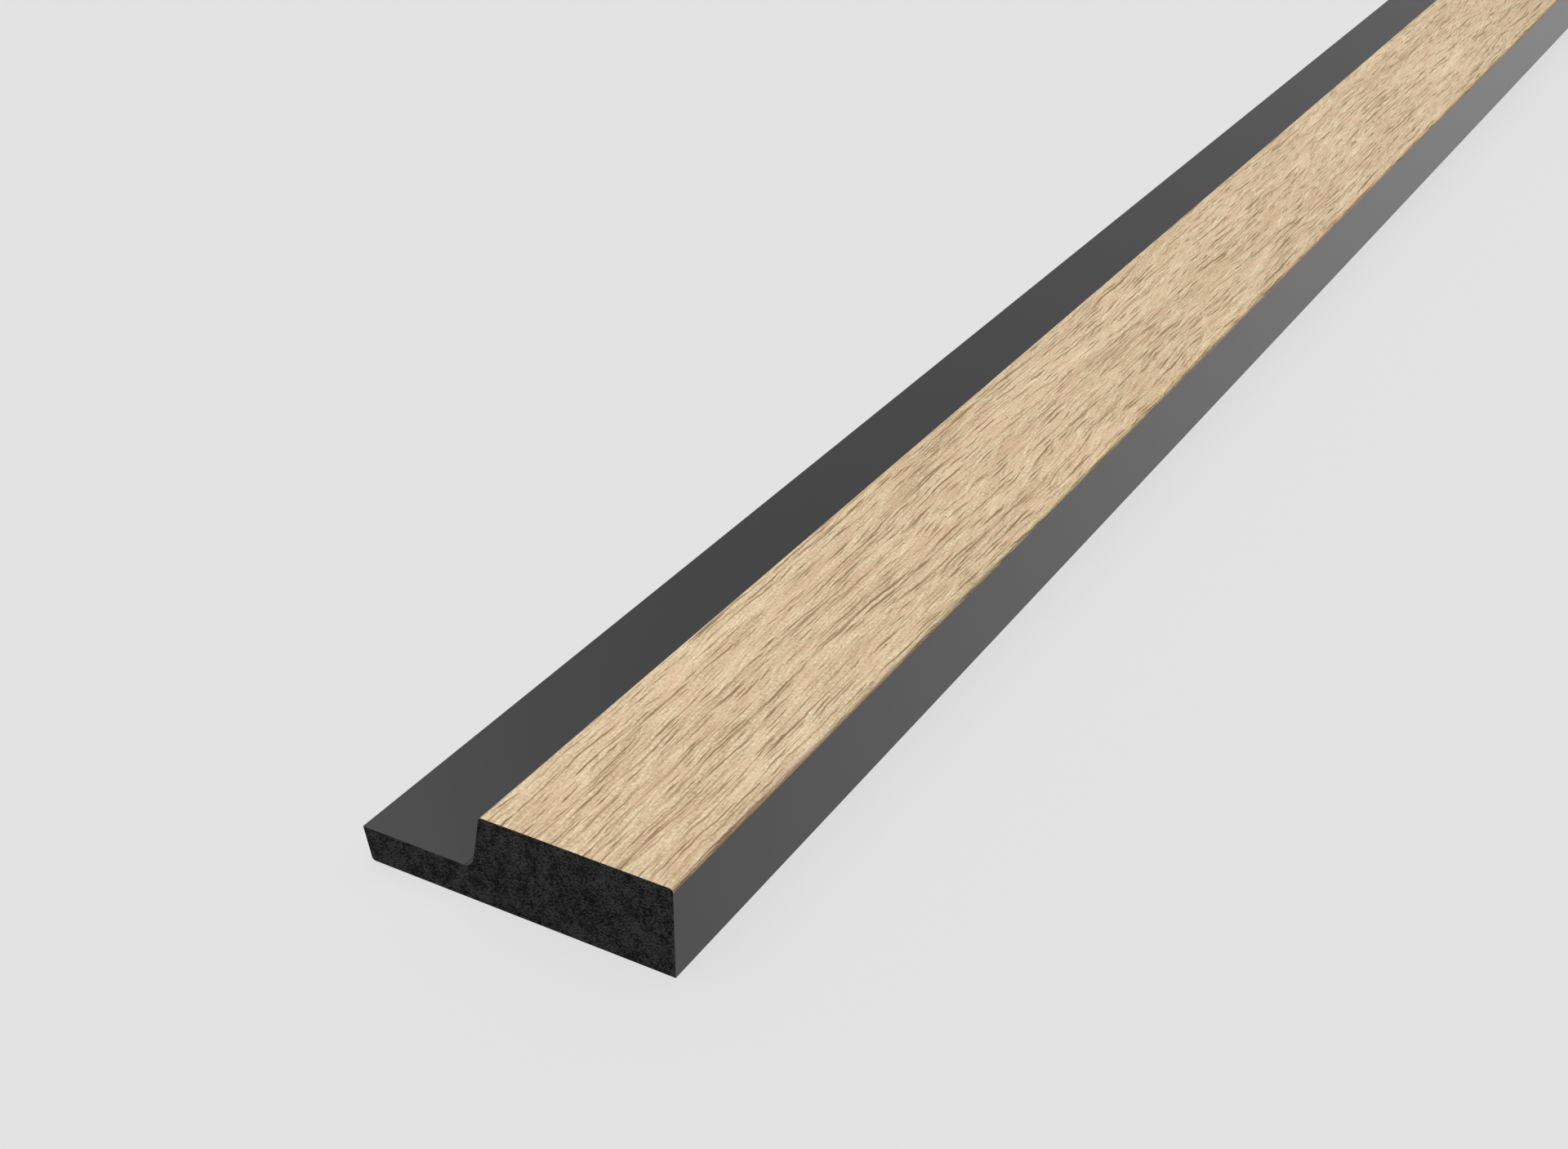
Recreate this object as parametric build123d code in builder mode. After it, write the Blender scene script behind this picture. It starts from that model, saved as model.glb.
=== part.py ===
from build123d import *
from math import atan, degrees, radians, tan
import os

os.makedirs("parts", exist_ok=True)

# Slatted panel end trim: a foamed polymer extrusion with an oak decor film over its slat.
# Millimetres. X runs across the trim, Y along it, and Z up from the back that is glued to the wall.
# The origin is on the back, half way across and half way along.

# The piece of stock
length = 2650.0
overall_width = 42.4
trim_height = 12.0

# The slat, a raised bar with a square outer side and a leaning inner wall
slat_face_width = 25.3
edge_radius = 0.5

# The flange, whose tip leans like the wall so that it closes against the next panel's slat
flange_thickness = 4.5
root_radius = 1.5
tip_radius = 0.5

# The wall and the tip both lean one in five
lean = 0.2

# The film that is laminated over the slat's face and both of its rounded edges
film_thickness = 0.12

# Corners of the section before rounding
outer_x = overall_width / 2
tip_top_x = -overall_width / 2
tip_bottom_x = tip_top_x + lean * flange_thickness
face_left_x = outer_x - slat_face_width
wall_foot_x = face_left_x - lean * (trim_height - flange_thickness)

# The inner edge turns less than a square corner, because the wall leans
lean_angle = degrees(atan(lean))
inner_turn = 90 - lean_angle
inner_setback = edge_radius * tan(radians(inner_turn / 2))

# Decor film: one strip, bent over both edges and ending where the rounding meets the sides
with BuildPart() as decor_film:
    with BuildSketch(Plane.XZ):
        with BuildLine():
            outer_wrap = JernArc(
                (outer_x, trim_height - edge_radius), (0, 1), edge_radius, 90
            )
            face = Line(outer_wrap @ 1, (face_left_x + inner_setback, trim_height))
            JernArc(face @ 1, face % 1, edge_radius, inner_turn)
            offset(amount=film_thickness, side=Side.LEFT)
        make_face()
    extrude(amount=length / 2, both=True)
decor_film.part.label = "decor_film"

# Profile body: slat and flange in one extrusion, with the film let in flush
with BuildPart() as profile_body:
    with BuildSketch(Plane.XZ):
        with BuildLine():
            FilletPolyline(
                (outer_x, 0),
                (outer_x, trim_height),
                (face_left_x, trim_height),
                (wall_foot_x, flange_thickness),
                (tip_top_x, flange_thickness),
                (tip_bottom_x, 0),
                radius=(0, edge_radius, edge_radius, root_radius, 0, tip_radius),
                close=True,
            )
        make_face()
    extrude(amount=length / 2, both=True)
    add(decor_film.part, mode=Mode.SUBTRACT)
profile_body.part.label = "profile_body"

export_step(profile_body.part, "parts/profile_body.step")
export_step(decor_film.part, "parts/decor_film.step")
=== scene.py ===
from math import atan, pi, radians, tan

import bmesh
import bpy
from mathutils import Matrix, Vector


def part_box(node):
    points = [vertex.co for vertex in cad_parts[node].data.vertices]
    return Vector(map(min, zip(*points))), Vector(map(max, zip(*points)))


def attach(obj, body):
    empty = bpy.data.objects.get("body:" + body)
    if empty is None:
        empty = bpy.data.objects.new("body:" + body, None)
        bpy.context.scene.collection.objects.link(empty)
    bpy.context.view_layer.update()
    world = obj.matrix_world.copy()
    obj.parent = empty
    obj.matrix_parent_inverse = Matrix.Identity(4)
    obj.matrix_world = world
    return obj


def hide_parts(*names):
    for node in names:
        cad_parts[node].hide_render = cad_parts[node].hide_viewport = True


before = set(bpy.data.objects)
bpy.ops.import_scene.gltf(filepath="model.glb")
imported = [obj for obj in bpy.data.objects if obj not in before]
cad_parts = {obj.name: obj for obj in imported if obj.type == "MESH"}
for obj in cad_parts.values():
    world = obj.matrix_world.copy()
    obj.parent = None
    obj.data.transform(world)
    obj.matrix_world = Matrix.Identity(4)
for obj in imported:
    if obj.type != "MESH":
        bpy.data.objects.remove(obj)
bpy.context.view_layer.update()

# Sizes of the trim in metres, as in its CAD solids. X is across, Y along, Z up from the glued back.
MM = 0.001
body_low, body_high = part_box("profile_body")
film_low, film_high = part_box("decor_film")
TIP_X, OUTER_X = body_low.x, body_high.x
NEAR_Y, FAR_Y = body_low.y, body_high.y
LENGTH = FAR_Y - NEAR_Y
HEIGHT = film_high.z
FLANGE = 4.5 * MM
SLAT_FACE = 25.3 * MM
LEAN = 0.2
EDGE_RADIUS = 0.5 * MM
TIP_RADIUS = 0.5 * MM
ROOT_RADIUS = 1.5 * MM
FILM = 0.12 * MM
WALL_TOP_X = OUTER_X - SLAT_FACE
WALL_FOOT_X = WALL_TOP_X - LEAN * (HEIGHT - FLANGE)
FACE_MIDDLE_X = OUTER_X - SLAT_FACE / 2

# Share of a radius between a sharp corner and where its rounding starts, on the corners that lean
LEAN_SETBACK = tan((pi / 2 - atan(LEAN)) / 2)
# Steps round a small edge and round the wider root
EDGE_STEPS = 8
ROOT_STEPS = 14
# Two places closer than this are one place
SAME = 0.02 * MM

# The film's map for baking holds the strip in this many lengths, one above the other
MAP_ROWS = 6
MAP_LENGTH = LENGTH / MAP_ROWS
# Share of a map's lower strip that its plain faces fill, so that they stay clear of the pattern
STRIP_FILL = 0.7


def near(a, b):
    return abs(a - b) < SAME


def pick(piece, kind, wanted):
    """In edit mode, selects the vertices, edges or faces that are wanted, and nothing else."""
    bpy.ops.mesh.select_mode(type=kind)
    bpy.ops.mesh.select_all(action="DESELECT")
    mesh = bmesh.from_edit_mesh(piece.data)
    mesh.normal_update()
    parts = {"VERT": mesh.verts, "EDGE": mesh.edges, "FACE": mesh.faces}[kind]
    for part in parts:
        if wanted(part):
            part.select_set(True)
    bmesh.update_edit_mesh(piece.data)


def work_on(piece):
    """Makes a piece the only one that operators act on."""
    bpy.ops.object.select_all(action="DESELECT")
    piece.select_set(True)
    bpy.context.view_layer.objects.active = piece


def along_at(x, z):
    """A test for the edges that run the whole length at one place in the section."""
    def test(edge):
        a, b = (v.co for v in edge.verts)
        return (
            abs(a.y - b.y) > LENGTH / 2
            and near(a.x, x) and near(b.x, x)
            and near(a.z, z) and near(b.z, z)
        )
    return test


def is_end(face):
    return abs(face.normal.y) > 0.9


def is_printed(face):
    """The film's outside. Its back, rims and ends face down or along."""
    return face.normal.z > 0.05


def is_under_film(face):
    return face.calc_center_median().z > HEIGHT - EDGE_RADIUS and not is_end(face)


def on_cut(y):
    """A test for the open edges round one cut end."""
    def test(edge):
        return edge.is_boundary and all(near(v.co.y, y) for v in edge.verts)
    return test


def shape_trim():
    """The extrusion and its film, from one section at the near end, drawn out along the length."""
    bpy.ops.object.select_all(action="DESELECT")
    bpy.ops.mesh.primitive_plane_add(
        size=1, location=(0, NEAR_Y, FLANGE / 2), rotation=(pi / 2, 0, 0)
    )
    body = bpy.context.object
    body.name = body.data.name = "polymer_profile"
    body.scale = (OUTER_X - TIP_X, FLANGE, 1)
    bpy.ops.object.transform_apply(location=True, rotation=True, scale=True)

    # The flange is a flat bar, and the slat rises from its right-hand part
    bpy.ops.object.mode_set(mode="EDIT")
    bpy.ops.mesh.select_all(action="SELECT")
    bpy.ops.mesh.bisect(plane_co=(WALL_FOOT_X, 0, 0), plane_no=(1, 0, 0))
    pick(body, "EDGE", lambda e: all(
        near(v.co.z, FLANGE) and v.co.x > WALL_FOOT_X - SAME for v in e.verts))
    bpy.ops.mesh.extrude_region_move(
        TRANSFORM_OT_translate={"value": (0, 0, HEIGHT - FLANGE)})

    # The slat's inner wall and the flange's tip lean alike
    pick(body, "VERT", lambda v: near(v.co.x, WALL_FOOT_X) and near(v.co.z, HEIGHT))
    bpy.ops.transform.translate(value=(LEAN * (HEIGHT - FLANGE), 0, 0))
    pick(body, "VERT", lambda v: near(v.co.x, TIP_X) and near(v.co.z, 0))
    bpy.ops.transform.translate(value=(LEAN * FLANGE, 0, 0))
    bpy.ops.mesh.select_all(action="SELECT")
    bpy.ops.mesh.extrude_region_move(TRANSFORM_OT_translate={"value": (0, LENGTH, 0)})
    bpy.ops.mesh.select_all(action="SELECT")
    bpy.ops.mesh.normals_make_consistent(inside=False)

    # Rounded edges: both of the slat's top edges, the tip's lower edge and the root
    for x, z, setback, steps in (
        (OUTER_X, HEIGHT, EDGE_RADIUS, EDGE_STEPS),
        (WALL_TOP_X, HEIGHT, EDGE_RADIUS * LEAN_SETBACK, EDGE_STEPS),
        (TIP_X + LEAN * FLANGE, 0, TIP_RADIUS * LEAN_SETBACK, EDGE_STEPS),
        (WALL_FOOT_X, FLANGE, ROOT_RADIUS * LEAN_SETBACK, ROOT_STEPS),
    ):
        pick(body, "EDGE", along_at(x, z))
        bpy.ops.mesh.bevel(
            offset_type="OFFSET", offset=setback, segments=steps, profile=0.5,
            affect="EDGES", clamp_overlap=False)
    pick(body, "FACE", is_end)
    bpy.ops.mesh.delete(type="FACE")

    # The film is a copy of the skin over the slat, and the extrusion is let in by its thickness
    pick(body, "FACE", is_under_film)
    bpy.ops.mesh.duplicate()
    bpy.ops.mesh.separate(type="SELECTED")
    pick(body, "FACE", is_under_film)
    bpy.ops.mesh.extrude_region_shrink_fatten(
        TRANSFORM_OT_shrink_fatten={"value": -FILM, "use_even_offset": True})
    pick(body, "FACE", is_end)
    bpy.ops.mesh.delete(type="FACE")
    for y in (NEAR_Y, FAR_Y):
        pick(body, "EDGE", on_cut(y))
        bpy.ops.mesh.edge_face_add()
    bpy.ops.mesh.select_all(action="SELECT")
    bpy.ops.mesh.normals_make_consistent(inside=False)
    bpy.ops.object.mode_set(mode="OBJECT")
    film = next(o for o in bpy.context.selected_objects if o is not body)
    film.name = film.data.name = "oak_film_strip"

    # The film gets its thickness inwards, and a cut across it at the end of each row of its map
    work_on(film)
    solid = film.modifiers.new("thickness", "SOLIDIFY")
    solid.thickness = FILM
    solid.offset = -1
    solid.use_even_offset = True
    bpy.ops.object.modifier_apply(modifier=solid.name)
    bpy.ops.object.mode_set(mode="EDIT")
    for row in range(1, MAP_ROWS):
        bpy.ops.mesh.select_all(action="SELECT")
        bpy.ops.mesh.bisect(plane_co=(0, NEAR_Y + row * MAP_LENGTH, 0), plane_no=(0, 1, 0))
    bpy.ops.object.mode_set(mode="OBJECT")
    for piece in (film, body):
        work_on(piece)
        bpy.ops.object.shade_smooth_by_angle(angle=radians(30))
    return body, film


def inset(share, margin):
    """A share of a map's field, with a margin left free on either side."""
    return margin + (1 - 2 * margin) * share


def film_spot(spot, face):
    """A place on the film's map: one row for each length, with the sheet unrolled across it."""
    row = int((face.center.y - NEAR_Y) / MAP_LENGTH)
    side = 1 if face.center.x > FACE_MIDDLE_X else -1
    low, high = film_low.x - EDGE_RADIUS, film_high.x + EDGE_RADIUS
    across = (spot.x + side * (HEIGHT - spot.z) - low) / (high - low)
    along = (spot.y - NEAR_Y) / MAP_LENGTH - row
    return inset(along, 0.002), (row + inset(across, 0.015)) / MAP_ROWS


def end_spot(spot, face):
    """A place on the profile's map: the near end below, the far end above."""
    half = int(face.center.y > 0)
    across = (spot.x - TIP_X) / (OUTER_X - TIP_X)
    return inset(across, 0.01), (half + inset(spot.z / HEIGHT, 0.02)) / 2


def lay_on_map(piece, shown, place, strip):
    """Lays faces with a pattern over most of the map for baking, and the rest along its lower edge."""
    work_on(piece)
    mesh = piece.data
    mesh.uv_layers.active.name = "OFBake"
    bpy.ops.object.mode_set(mode="EDIT")
    pick(piece, "FACE", lambda face: not shown(face))
    bpy.ops.uv.smart_project(angle_limit=radians(66), island_margin=0.004, scale_to_bounds=True)
    bpy.ops.object.mode_set(mode="OBJECT")
    on_map = mesh.uv_layers["OFBake"].uv
    for face in mesh.polygons:
        for corner in face.loop_indices:
            if shown(face):
                u, v = place(mesh.vertices[mesh.loops[corner].vertex_index].co, face)
                on_map[corner].vector = (u, strip + (1 - strip) * v)
            else:
                u, v = on_map[corner].vector
                on_map[corner].vector = (u, STRIP_FILL * strip * v)


def linear(code):
    """A linear colour from its sRGB hex code."""
    parts = [int(code[i:i + 2], 16) / 255 for i in (1, 3, 5)]
    return (*(c / 12.92 if c <= 0.04045 else ((c + 0.055) / 1.055) ** 2.4 for c in parts), 1)


def add(tree, kind, inputs=(), **settings):
    """Adds a node with its settings. An input is a value, or another node's output to link."""
    made = tree.nodes.new(kind)
    for key, value in settings.items():
        setattr(made, key, value)
    for key, value in dict(inputs).items():
        if isinstance(value, bpy.types.NodeSocket):
            tree.links.new(value, made.inputs[key])
        else:
            made.inputs[key].default_value = value
    return made


def new_material(name):
    material = bpy.data.materials.new(name)
    material.use_nodes = True
    material.node_tree.nodes.clear()
    return material, material.node_tree


def in_mm(tree):
    """Places on the piece in millimetres."""
    place = add(tree, "ShaderNodeTexCoord")
    return add(tree, "ShaderNodeMapping", {
        "Vector": place.outputs["Object"], "Scale": (1 / MM, 1 / MM, 1 / MM)}).outputs[0]


def patches(tree, place, across, along, detail=1.0, seed=0.0):
    """Soft random patches, this many millimetres across and along. Gives about 0.3 to 0.7."""
    spot = add(tree, "ShaderNodeMapping", {
        "Vector": place, "Location": (seed, seed, seed),
        "Scale": (1 / across, 1 / along, 1 / across)})
    return add(tree, "ShaderNodeTexNoise", {
        "Vector": spot.outputs[0], "Scale": 1, "Detail": detail, "Roughness": 0.5}).outputs[0]


def pore_rows(tree, grain, crowd, apart, half_width, length, seed):
    """Rows of pores run together, this many millimetres apart, that break off and taper.

    Gives 1 in a deep pore and 0 between pores."""
    spot = add(tree, "ShaderNodeSeparateXYZ", {0: grain})

    # Rows follow the grain, crinkle from pore to pore by 0.25 mm and drift by 1.8 mm
    row = add(tree, "ShaderNodeMath", {
        0: spot.outputs["X"], 1: 1 / apart, 2: seed}, operation="MULTIPLY_ADD")
    crinkle = patches(tree, grain, across=0.9, along=1.5, detail=2, seed=seed)
    crinkled = add(tree, "ShaderNodeMath", {
        0: crinkle, 1: 0.25 / apart, 2: row.outputs[0]}, operation="MULTIPLY_ADD")
    drift = patches(tree, grain, across=4, along=24, seed=seed)
    level = add(tree, "ShaderNodeMath", {
        0: drift, 1: 1.8 / apart, 2: crinkled.outputs[0]}, operation="MULTIPLY_ADD")
    off_line = add(tree, "ShaderNodeMath", {0: level.outputs[0], 1: 0.5}, operation="PINGPONG")

    # Each row breaks off at places of its own, and oftener where pores are few
    number = add(tree, "ShaderNodeMath", {0: level.outputs[0]}, operation="ROUND")
    along = add(tree, "ShaderNodeMath", {
        0: number.outputs[0], 1: 2.77 * length, 2: spot.outputs["Y"]}, operation="MULTIPLY_ADD")
    in_row = add(tree, "ShaderNodeCombineXYZ", {
        "X": number.outputs[0], "Y": along.outputs[0]}).outputs[0]
    breaks = patches(tree, in_row, across=0.19, along=length, detail=2)
    full = add(tree, "ShaderNodeMath", {
        0: crowd, 1: 0.25, 2: breaks}, operation="MULTIPLY_ADD")
    run = add(tree, "ShaderNodeMapRange", {
        "Value": full.outputs[0], "From Min": 0.56, "From Max": 0.785})
    inside = add(tree, "ShaderNodeMath", {
        0: off_line.outputs[0], 1: -apart / half_width, 2: run.outputs[0]},
        operation="MULTIPLY_ADD")
    pore = add(tree, "ShaderNodeMapRange", {
        "Value": inside.outputs[0], "From Min": 0.0, "From Max": 0.6},
        interpolation_type="SMOOTHSTEP")

    # Some stretches are printed fainter than others
    faint = patches(tree, in_row, across=0.19, along=0.7 * length, detail=0, seed=5)
    depth = add(tree, "ShaderNodeMapRange", {
        "Value": faint, "From Min": 0.35, "From Max": 0.6, "To Min": 0.35})
    return add(tree, "ShaderNodeMath", {
        0: pore.outputs[0], 1: depth.outputs[0]}, operation="MULTIPLY").outputs[0]


def oak_print_film():
    """Polypropylene decor film, gravure printed as light oak and embossed in register.

    It gives a dull sheen, fine dark pore strokes along the grain and soft bands of tone."""
    material, tree = new_material("printed_embossed_polypropylene_oak")
    parts = add(tree, "ShaderNodeSeparateXYZ", {0: in_mm(tree)})

    # The sheet unrolled: its print carries on round both edges
    middle = add(tree, "ShaderNodeMath", {
        0: parts.outputs["X"], 1: FACE_MIDDLE_X / MM}, operation="SUBTRACT")
    side = add(tree, "ShaderNodeMath", {0: middle.outputs[0]}, operation="SIGN")
    drop = add(tree, "ShaderNodeMath", {
        0: HEIGHT / MM, 1: parts.outputs["Z"]}, operation="SUBTRACT")
    unrolled = add(tree, "ShaderNodeMath", {
        0: drop.outputs[0], 1: side.outputs[0], 2: parts.outputs["X"]}, operation="MULTIPLY_ADD")
    sheet = add(tree, "ShaderNodeCombineXYZ", {
        "X": unrolled.outputs[0], "Y": parts.outputs["Y"]}).outputs[0]

    # The grain sways by 2 mm along the length, and wavers by 0.5 mm on the scale of a pore
    sway = add(tree, "ShaderNodeMapRange", {
        "Value": patches(tree, sheet, across=18, along=70, seed=2),
        "To Min": -2.0, "To Max": 2.0})
    waver = add(tree, "ShaderNodeMapRange", {
        "Value": patches(tree, sheet, across=4, along=9, detail=3, seed=9),
        "To Min": -0.5, "To Max": 0.5})
    aside = add(tree, "ShaderNodeMath", {0: sway.outputs[0], 1: waver.outputs[0]}, operation="ADD")
    shift = add(tree, "ShaderNodeCombineXYZ", {"X": aside.outputs[0]})
    grain = add(tree, "ShaderNodeVectorMath", {
        0: sheet, 1: shift.outputs[0]}, operation="ADD").outputs[0]

    # The same with a slant, so that marks side by side don't start level
    across = add(tree, "ShaderNodeSeparateXYZ", {0: grain})
    slant = add(tree, "ShaderNodeMath", {
        0: across.outputs["X"], 1: 6.1, 2: across.outputs["Y"]}, operation="MULTIPLY_ADD")
    slanted = add(tree, "ShaderNodeCombineXYZ", {
        "X": across.outputs["X"], "Y": slant.outputs[0]}).outputs[0]

    # Bands of early and late wood, mottle, short ripples between the pores, and a tooth. The ripples are
    # partly print and partly painted light and shade of the emboss's wrinkles, and the tooth is painted
    # light and shade of its fine relief.
    # A real tooth is about 0.1 mm and too fine to show, so it is drawn three times as coarse.
    tone_sum = -0.94
    for pattern, share in (
        (patches(tree, grain, across=6, along=60, detail=2, seed=31), 0.45),
        (patches(tree, slanted, across=1.6, along=16, detail=2, seed=43), 0.56),
        (patches(tree, slanted, across=0.5, along=2.2, detail=2, seed=57), 0.85),
        (patches(tree, sheet, across=0.3, along=0.5, detail=1, seed=97), 0.85),
    ):
        tone_sum = add(tree, "ShaderNodeMath", {
            0: pattern, 1: share, 2: tone_sum}, operation="MULTIPLY_ADD").outputs[0]
    tone = add(tree, "ShaderNodeValToRGB", {"Fac": tone_sum})
    for stop, at, code in zip(tone.color_ramp.elements, (0.1, 0.9), ("#B09570", "#F8E4C0")):
        stop.position = at
        stop.color = linear(code)
    warm = add(tree, "ShaderNodeMapRange", {
        "Value": patches(tree, grain, across=2, along=9, detail=2, seed=71),
        "From Min": 0.42, "From Max": 0.68, "To Max": 0.38})
    warmed = add(tree, "ShaderNodeMix", {
        "Factor": warm.outputs[0], "A": tone.outputs[0], "B": linear("#D2AB8C")}, data_type="RGBA")

    # Pores in rows of three sizes, thicker together in some bands than in others
    crowd = patches(tree, grain, across=3.5, along=35, seed=17)
    wide_rows = pore_rows(tree, grain, crowd, apart=1.3, half_width=0.25, length=18, seed=83)
    close_rows = pore_rows(tree, grain, crowd, apart=0.86, half_width=0.22, length=11, seed=127)
    fine_rows = pore_rows(tree, grain, crowd, apart=0.57, half_width=0.16, length=6, seed=211)
    two = add(tree, "ShaderNodeMath", {0: wide_rows, 1: close_rows}, operation="MAXIMUM")
    open_pores = add(tree, "ShaderNodeMath", {
        0: two.outputs[0], 1: fine_rows}, operation="MAXIMUM").outputs[0]
    pored = add(tree, "ShaderNodeMix", {
        "Factor": open_pores, "A": warmed.outputs["Result"], "B": linear("#8D7452")},
        data_type="RGBA")

    # The emboss sinks the pores, over a fine paper-like tooth
    tooth = patches(tree, sheet, across=0.5, along=1.8)
    sunk = add(tree, "ShaderNodeMath", {
        0: open_pores, 1: -1.0, 2: tooth}, operation="MULTIPLY_ADD")
    relief = add(tree, "ShaderNodeBump", {
        "Strength": 0.8, "Distance": 0.06 * MM, "Height": sunk.outputs[0]})
    surface = add(tree, "ShaderNodeBsdfPrincipled", {
        "Base Color": pored.outputs["Result"], "Roughness": 0.62, "IOR": 1.49,
        "Specular IOR Level": 0.3, "Normal": relief.outputs[0]})
    add(tree, "ShaderNodeOutputMaterial", {"Surface": surface.outputs[0]})
    return material


def extruded_polymer_skin():
    """Foamed polystyrene, black right through, with the closed skin that the die's cold walls leave.

    It gives an even satin black that picks up pale surroundings at low angles, with faint die lines."""
    material, tree = new_material("die_skinned_black_foamed_polystyrene")
    die_lines = patches(tree, in_mm(tree), across=0.6, along=400, detail=2)
    relief = add(tree, "ShaderNodeBump", {
        "Strength": 0.15, "Distance": 0.01 * MM, "Height": die_lines})
    surface = add(tree, "ShaderNodeBsdfPrincipled", {
        "Base Color": linear("#1E1E1F"), "Roughness": 0.22, "IOR": 1.475,
        "Normal": relief.outputs[0]})
    add(tree, "ShaderNodeOutputMaterial", {"Surface": surface.outputs[0]})
    return material


def sawn_polymer():
    """The same foam where a saw has opened its cells at the cut ends.

    It gives a dull, grainy black, in clusters, with painted highlights where torn cell walls would catch
    light and painted shade in the open cells."""
    material, tree = new_material("sawn_black_foamed_polystyrene")
    place = in_mm(tree)

    # Cells are about 0.1 mm and too fine to show, so they are drawn two or three times as coarse
    cell_place = add(tree, "ShaderNodeMapping", {
        "Vector": place, "Scale": (1 / 0.33, 1 / 0.33, 1 / 0.2)})
    cells = add(tree, "ShaderNodeTexNoise", {
        "Vector": cell_place.outputs[0], "Scale": 1, "Detail": 1, "Roughness": 0.6,
        "Distortion": 0.6})
    clusters = add(tree, "ShaderNodeMath", {
        0: patches(tree, place, across=1.4, along=1.4, detail=2), 1: 0.45, 2: cells.outputs[0]},
        operation="MULTIPLY_ADD")
    # Painted light and shade: the colour is lighter where torn cell walls would catch light, and near black
    # where open cells lie in shade
    tone = add(tree, "ShaderNodeValToRGB", {"Fac": clusters.outputs[0]})
    for stop, at, code in zip(tone.color_ramp.elements, (0.63, 0.84), ("#030303", "#434344")):
        stop.position = at
        stop.color = linear(code)
    relief = add(tree, "ShaderNodeBump", {
        "Strength": 0.5, "Distance": 0.05 * MM, "Height": clusters.outputs[0]})
    surface = add(tree, "ShaderNodeBsdfPrincipled", {
        "Base Color": tone.outputs[0], "Roughness": 0.9, "IOR": 1.5,
        "Specular IOR Level": 0.15, "Normal": relief.outputs[0]})
    add(tree, "ShaderNodeOutputMaterial", {"Surface": surface.outputs[0]})
    return material


# Both pieces of the trim, with their maps for baking and their materials
profile, film = shape_trim()
lay_on_map(profile, is_end, end_spot, strip=0.4)
lay_on_map(film, is_printed, film_spot, strip=0.04)
profile.data.materials.append(extruded_polymer_skin())
film.data.materials.append(oak_print_film())

# The film has no thickness to the eye: its cut edge is as black as the foam's
sawn = sawn_polymer()
for piece, is_sawn in ((profile, is_end), (film, lambda face: not is_printed(face))):
    piece.data.materials.append(sawn)
    for face in piece.data.polygons:
        face.material_index = int(is_sawn(face))
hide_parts("profile_body")
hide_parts("decor_film")
for piece in (profile, film):
    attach(piece, "root")

# A plain pale floor: seen straight or in a gloss it is mostly a flat tone, and the rest takes a faint shadow
PALE = linear("#E2E2E2")
FLOOR_SIZE = 60
FLAT_SHARE = 0.7
bpy.ops.object.select_all(action="DESELECT")
bpy.ops.mesh.primitive_plane_add(size=FLOOR_SIZE, location=(0, 0, 0))
floor = bpy.context.object
floor.name = "floor"
paper, tree = new_material("matt_pale_paper")
paint = add(tree, "ShaderNodeBsdfDiffuse", {"Color": linear("#979797")})
flat = add(tree, "ShaderNodeEmission", {"Color": PALE, "Strength": 1.25})
ray = add(tree, "ShaderNodeLightPath")
seen = add(tree, "ShaderNodeMath", {
    0: ray.outputs["Is Camera Ray"], 1: ray.outputs["Is Glossy Ray"]}, operation="MAXIMUM")
also = add(tree, "ShaderNodeMath", {
    0: seen.outputs[0], 1: ray.outputs["Is Transmission Ray"]}, operation="MAXIMUM")
part = add(tree, "ShaderNodeMath", {0: also.outputs[0], 1: FLAT_SHARE}, operation="MULTIPLY")
mixed = add(tree, "ShaderNodeMixShader", {
    0: part.outputs[0], 1: paint.outputs[0], 2: flat.outputs[0]})
add(tree, "ShaderNodeOutputMaterial", {"Surface": mixed.outputs[0]})
floor.data.materials.append(paper)

# Soft light from a dome: brightest overhead, grey towards the horizon and dim on the right
world = bpy.data.worlds.new("soft_dome")
world.use_nodes = True
bpy.context.scene.world = world
tree = world.node_tree
tree.nodes.clear()
way = add(tree, "ShaderNodeTexCoord")
axes = add(tree, "ShaderNodeSeparateXYZ", {0: way.outputs["Generated"]})
overhead = add(tree, "ShaderNodeMapRange", {
    "Value": axes.outputs["Z"], "From Min": 0.55, "From Max": 0.63, "To Min": 0.43, "To Max": 1.85},
    interpolation_type="SMOOTHSTEP")
dimmed = add(tree, "ShaderNodeMapRange", {
    "Value": axes.outputs["X"], "From Min": 0.06, "From Max": 0.66, "To Min": 1.0, "To Max": 0.2},
    interpolation_type="SMOOTHSTEP")
dome = add(tree, "ShaderNodeMath", {
    0: overhead.outputs[0], 1: dimmed.outputs[0]}, operation="MULTIPLY")
light = add(tree, "ShaderNodeBackground", {"Color": (1, 1, 1, 1), "Strength": dome.outputs[0]})
backdrop = add(tree, "ShaderNodeBackground", {"Color": PALE, "Strength": 1})
ray = add(tree, "ShaderNodeLightPath")
shown = add(tree, "ShaderNodeMixShader", {
    0: ray.outputs["Is Camera Ray"], 1: light.outputs[0], 2: backdrop.outputs[0]})
add(tree, "ShaderNodeOutputWorld", {"Surface": shown.outputs[0]})

# The camera stands by the near end, 30 degrees up and 30 degrees round, with a 50 mm lens
CAMERA_RIGHT = 100.546 * MM
CAMERA_BACK = 150.902 * MM
CAMERA_UP = 154.563 * MM
lens = bpy.data.cameras.new("camera")
lens.lens = 50
lens.sensor_width = 36
lens.sensor_fit = "HORIZONTAL"
lens.clip_start = 0.01
lens.clip_end = 200
camera = bpy.data.objects.new("camera", lens)
camera.location = (OUTER_X + CAMERA_RIGHT, NEAR_Y - CAMERA_BACK, CAMERA_UP)
camera.rotation_euler = (radians(60), 0, radians(30))
bpy.context.scene.collection.objects.link(camera)
bpy.context.scene.camera = camera
bpy.context.scene.view_settings.view_transform = "Standard"
